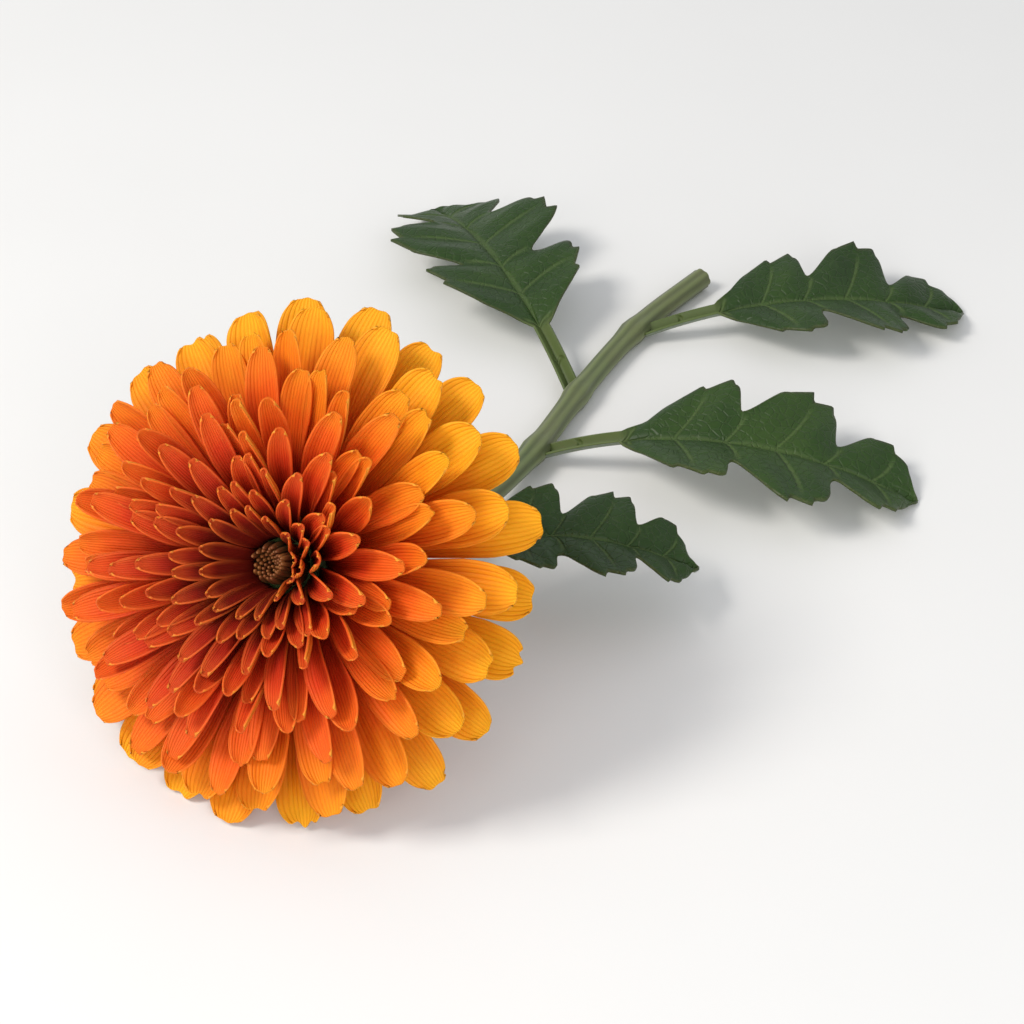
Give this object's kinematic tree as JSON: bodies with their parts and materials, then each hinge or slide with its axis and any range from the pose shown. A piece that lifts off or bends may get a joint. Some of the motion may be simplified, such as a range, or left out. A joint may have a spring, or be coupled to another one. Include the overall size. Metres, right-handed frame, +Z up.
{
  "type": "chrysanthemum flower",
  "caption": "Cut double chrysanthemum, a shallow dome of orange-red petals with gold tips on a green stem with lobed leaves, lying on a surface.",
  "frame": {"origin": "middle of the flower's bounding box, on the surface that it lies on", "axes": "+Z up from the surface, +Y along the stem from the flower head towards the cut end, +X to the right of someone who looks along +Y"},
  "size_m": [0.0872, 0.1312, 0.0433],
  "materials": {
    "outer_petals": "soft satin petal, orange running to golden yellow at the tip",
    "inner_petals": "soft satin petal, red-orange with paler rims, deep red towards the middle",
    "heart": "matte, tightly packed unopened florets",
    "bracts": "matte green with dry paler edges",
    "stem": "matte, finely ribbed green stem",
    "leaves": "satin dark green leaf with paler veins"
  },
  "bodies": {
    "root": {"heart": "heart", "inner_bracts": "bracts", "leaf_back": "leaves", "leaf_left": "leaves", "leaf_low": "leaves", "leaf_right": "leaves", "leaf_top": "leaves", "outer_bracts": "bracts", "outer_petal_01": "outer_petals", "outer_petal_02": "outer_petals", "outer_petal_03": "outer_petals", "outer_petal_04": "outer_petals", "outer_petal_05": "outer_petals", "outer_petal_06": "outer_petals", "outer_petal_07": "outer_petals", "outer_petal_08": "outer_petals", "outer_petal_09": "outer_petals", "outer_petal_10": "outer_petals", "outer_petal_11": "outer_petals", "outer_petal_12": "outer_petals", "outer_petal_13": "outer_petals", "outer_petal_14": "outer_petals", "outer_petal_15": "outer_petals", "outer_petal_16": "outer_petals", "outer_petal_17": "outer_petals", "outer_petal_18": "outer_petals", "outer_petal_19": "outer_petals", "outer_petal_20": "outer_petals", "outer_petal_21": "outer_petals", "outer_petal_22": "outer_petals", "outer_petal_23": "outer_petals", "petal_row_3": "inner_petals", "petal_row_4": "inner_petals", "petal_row_5": "inner_petals", "petal_row_6": "inner_petals", "petal_row_7": "inner_petals", "petal_row_8": "inner_petals", "petal_row_9": "inner_petals", "second_petal_01": "outer_petals", "second_petal_02": "outer_petals", "second_petal_03": "outer_petals", "second_petal_04": "outer_petals", "second_petal_05": "outer_petals", "second_petal_06": "outer_petals", "second_petal_07": "outer_petals", "second_petal_08": "outer_petals", "second_petal_09": "outer_petals", "second_petal_10": "outer_petals", "second_petal_11": "outer_petals", "second_petal_12": "outer_petals", "second_petal_13": "outer_petals", "second_petal_14": "outer_petals", "second_petal_15": "outer_petals", "second_petal_16": "outer_petals", "second_petal_17": "outer_petals", "second_petal_18": "outer_petals", "second_petal_19": "outer_petals", "second_petal_20": "outer_petals", "second_petal_21": "outer_petals", "stem": "stem"}
  },
  "joints": []
}
